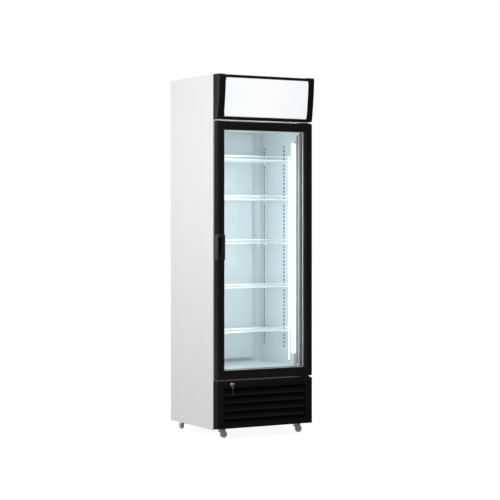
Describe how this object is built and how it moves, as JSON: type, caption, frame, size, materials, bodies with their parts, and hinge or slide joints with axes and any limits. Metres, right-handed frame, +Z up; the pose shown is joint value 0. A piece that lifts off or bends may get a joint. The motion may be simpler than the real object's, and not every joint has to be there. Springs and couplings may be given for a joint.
{
  "type": "glass door merchandiser",
  "caption": "Upright refrigerated display cabinet with a hinged double glass door, lit canopy, wire shelves, louvred grille and swivel castors.",
  "frame": {"origin": "on the floor under the centre of the cabinet's bounding box", "axes": "+Z up, the door faces -Y, and the door's hinge is on the +X side"},
  "size_m": [0.6, 0.589, 1.98],
  "materials": {
    "white_paint": "gloss",
    "grey_paint": "satin",
    "black_plastic": "satin",
    "liner_plastic": "satin",
    "foam": "matte",
    "galvanised_steel": "satin",
    "bright_steel": "polished",
    "aluminium_fins": "satin",
    "copper_tube": "satin",
    "door_glass": "polished",
    "grey_rubber": "matte",
    "compressor_paint": "satin",
    "white_coated_wire": "gloss",
    "lamp_diffuser": "satin",
    "canopy_diffuser": "satin",
    "breaker_plastic": "matte",
    "castor_tread": "satin",
    "drip_plastic": "satin"
  },
  "bodies": {
    "root": {"outer_casing": "white_paint", "back_panel": "grey_paint", "front_frame": "grey_paint", "breaker_strip": "breaker_plastic", "insulation_foam": "foam", "inner_liner": "liner_plastic", "base_plate": "galvanised_steel", "front_grille": "black_plastic", "compressor": "compressor_paint", "condenser_coil": "aluminium_fins", "condenser_fan_shroud": "galvanised_steel", "condenser_fan_motor": "compressor_paint", "drip_tray": "drip_plastic", "electrical_box": "galvanised_steel", "discharge_pipe": "copper_tube", "filter_drier": "copper_tube", "cable_gland": "black_plastic", "duct_cover": "liner_plastic", "ceiling_panel": "liner_plastic", "evaporator_coil": "aluminium_fins", "evaporator_fan_motor": "compressor_paint", "lamp_channel": "liner_plastic", "lamp_diffuser": "lamp_diffuser", "shelf_rail_front_left": "white_paint", "shelf_rail_front_right": "white_paint", "shelf_rail_rear_left": "white_paint", "shelf_rail_rear_right": "white_paint", "canopy_cap_left": "black_plastic", "canopy_cap_right": "black_plastic", "canopy_housing": "black_plastic", "canopy_panel": "canopy_diffuser", "canopy_batten": "white_paint", "canopy_lamp": "lamp_diffuser", "hinge_bracket_top": "galvanised_steel", "hinge_bracket_bottom": "galvanised_steel", "lock_barrel": "bright_steel"},
    "door": {"door_frame": "black_plastic", "door_glass_outer": "door_glass", "door_glass_inner": "door_glass", "door_spacer": "aluminium_fins", "door_gasket": "grey_rubber", "door_handle": "black_plastic"},
    "lock": {"lock_core": "bright_steel", "lock_key": "bright_steel"},
    "hanging_key": {"spare_key": "bright_steel"},
    "condenser_fan": {"condenser_fan_blade": "galvanised_steel"},
    "evaporator_fan": {"evaporator_fan_blade": "black_plastic"},
    "shelf_1": {"shelf_1": "white_coated_wire"},
    "shelf_2": {"shelf_2": "white_coated_wire"},
    "shelf_3": {"shelf_3": "white_coated_wire"},
    "shelf_4": {"shelf_4": "white_coated_wire"},
    "shelf_5": {"shelf_5": "white_coated_wire"},
    "castor_front_left": {"castor_fork_front_left": "bright_steel"},
    "wheel_front_left": {"castor_wheel_front_left": "castor_tread"},
    "castor_front_right": {"castor_fork_front_right": "bright_steel"},
    "wheel_front_right": {"castor_wheel_front_right": "castor_tread"},
    "castor_rear_left": {"castor_fork_rear_left": "bright_steel"},
    "wheel_rear_left": {"castor_wheel_rear_left": "castor_tread"},
    "castor_rear_right": {"castor_fork_rear_right": "bright_steel"},
    "wheel_rear_right": {"castor_wheel_rear_right": "castor_tread"}
  },
  "joints": [
    {"name": "door_hinge", "type": "hinge", "parent": "root", "child": "door", "pos_m": [0.285, -0.2475, 1.0215], "axis": [0, 0, 1], "range_deg": [0, 110], "stiffness_Nm_per_rad": 1.2},
    {"name": "lock_turn", "type": "hinge", "parent": "root", "child": "lock", "pos_m": [-0.211, -0.2718, 0.296], "axis": [0, -1, 0], "range_deg": [0, 90]},
    {"name": "key_swing", "type": "hinge", "parent": "root", "child": "hanging_key", "pos_m": [-0.211, -0.2745, 0.296], "axis": [0, -1, 0], "range_deg": [-50, 50]},
    {"name": "condenser_fan_spin", "type": "hinge", "parent": "root", "child": "condenser_fan", "pos_m": [-0.096, -0.1275, 0.155], "axis": [0, -1, 0], "continuous": true},
    {"name": "evaporator_fan_spin", "type": "hinge", "parent": "root", "child": "evaporator_fan", "pos_m": [0, -0.08, 1.701], "axis": [0, 0, -1], "continuous": true},
    {"name": "shelf_1_lift", "type": "slide", "parent": "root", "child": "shelf_1", "axis": [0, 0, 1], "range_m": [0, 0.02]},
    {"name": "shelf_2_lift", "type": "slide", "parent": "root", "child": "shelf_2", "axis": [0, 0, 1], "range_m": [0, 0.02]},
    {"name": "shelf_3_lift", "type": "slide", "parent": "root", "child": "shelf_3", "axis": [0, 0, 1], "range_m": [0, 0.02]},
    {"name": "shelf_4_lift", "type": "slide", "parent": "root", "child": "shelf_4", "axis": [0, 0, 1], "range_m": [0, 0.02]},
    {"name": "shelf_5_lift", "type": "slide", "parent": "root", "child": "shelf_5", "axis": [0, 0, 1], "range_m": [0, 0.02]},
    {"name": "castor_front_left_swivel", "type": "hinge", "parent": "root", "child": "castor_front_left", "pos_m": [-0.2335, -0.192, 0.045], "axis": [0, 0, 1], "continuous": true},
    {"name": "wheel_front_left_roll", "type": "hinge", "parent": "castor_front_left", "child": "wheel_front_left", "pos_m": [-0.22155, -0.19305, 0.019], "axis": [-0.0872, -0.9962, 0], "continuous": true},
    {"name": "castor_front_right_swivel", "type": "hinge", "parent": "root", "child": "castor_front_right", "pos_m": [0.243, -0.192, 0.045], "axis": [0, 0, 1], "continuous": true},
    {"name": "wheel_front_right_roll", "type": "hinge", "parent": "castor_front_right", "child": "wheel_front_right", "pos_m": [0.25495, -0.19305, 0.019], "axis": [-0.0872, -0.9962, 0], "continuous": true},
    {"name": "castor_rear_left_swivel", "type": "hinge", "parent": "root", "child": "castor_rear_left", "pos_m": [-0.25, 0.246, 0.045], "axis": [0, 0, 1], "continuous": true},
    {"name": "wheel_rear_left_roll", "type": "hinge", "parent": "castor_rear_left", "child": "wheel_rear_left", "pos_m": [-0.25, 0.258, 0.019], "axis": [1, 0, 0], "continuous": true},
    {"name": "castor_rear_right_swivel", "type": "hinge", "parent": "root", "child": "castor_rear_right", "pos_m": [0.243, 0.246, 0.045], "axis": [0, 0, 1], "continuous": true},
    {"name": "wheel_rear_right_roll", "type": "hinge", "parent": "castor_rear_right", "child": "wheel_rear_right", "pos_m": [0.25428, 0.2501, 0.019], "axis": [0.342, -0.9397, 0], "continuous": true}
  ]
}
